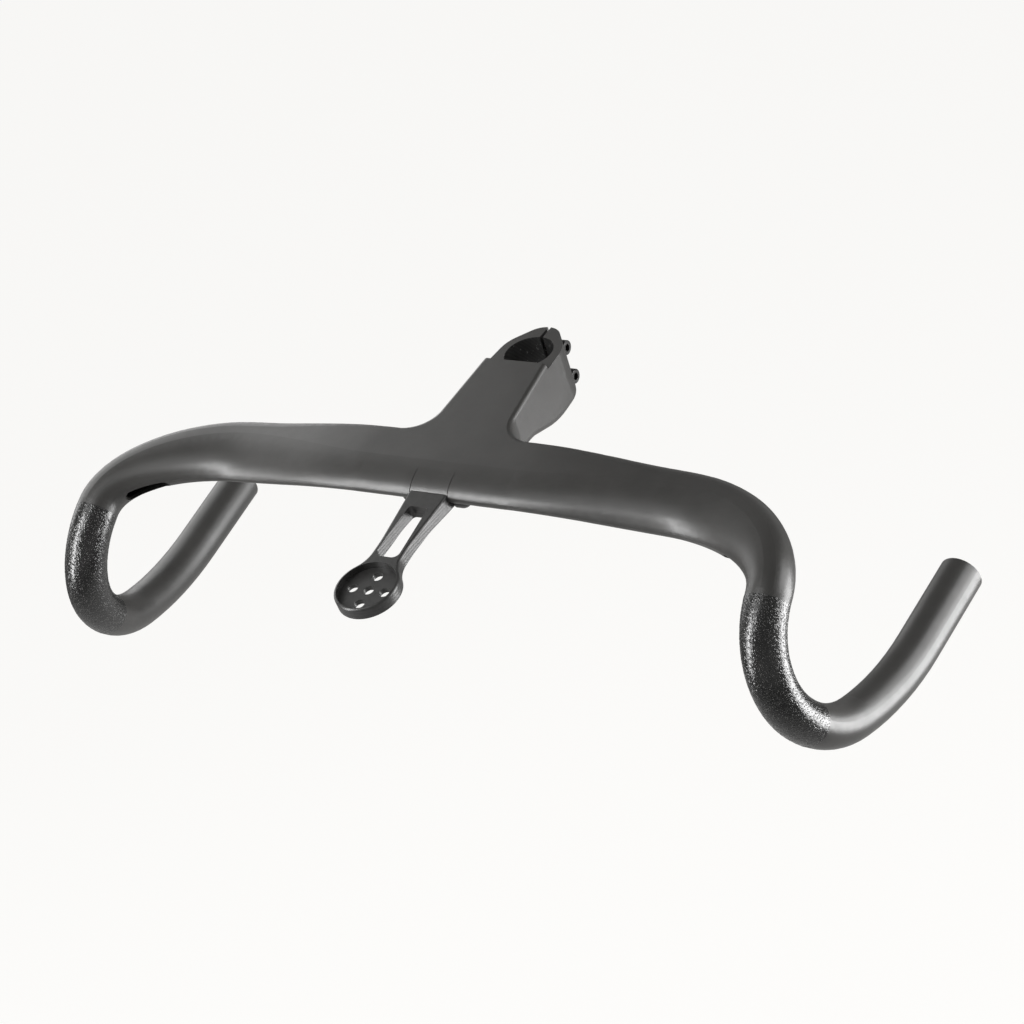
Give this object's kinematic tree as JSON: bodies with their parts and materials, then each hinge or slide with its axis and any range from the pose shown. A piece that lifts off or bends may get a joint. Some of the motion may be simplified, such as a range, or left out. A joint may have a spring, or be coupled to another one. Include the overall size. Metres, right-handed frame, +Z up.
{
  "type": "integrated gravel handlebar",
  "caption": "Integrated drop handlebar and stem: hollow moulded shell with flat wing tops, flared drops, split steerer clamp and a bolted arm that carries a round device cup.",
  "frame": {"origin": "on the steerer axis at the bottom face of the clamp", "axes": "+Z up along the steerer, +Y to the rear of the bicycle, +X across the bar"},
  "size_m": [0.5112, 0.2296, 0.1411],
  "materials": {
    "shell_paint": "satin black coat over a moulded carbon laminate",
    "mount_alloy": "black anodised, milled",
    "bolt_steel": "black steel",
    "nut_alloy": "plain turned",
    "insert_brass": "plain turned"
  },
  "bodies": {
    "root": {"bar_stem_shell": "shell_paint", "computer_mount": "mount_alloy", "clamp_bolts": "bolt_steel", "clamp_barrel_nuts": "nut_alloy", "mount_screws": "bolt_steel", "mount_inserts": "insert_brass"}
  },
  "joints": []
}
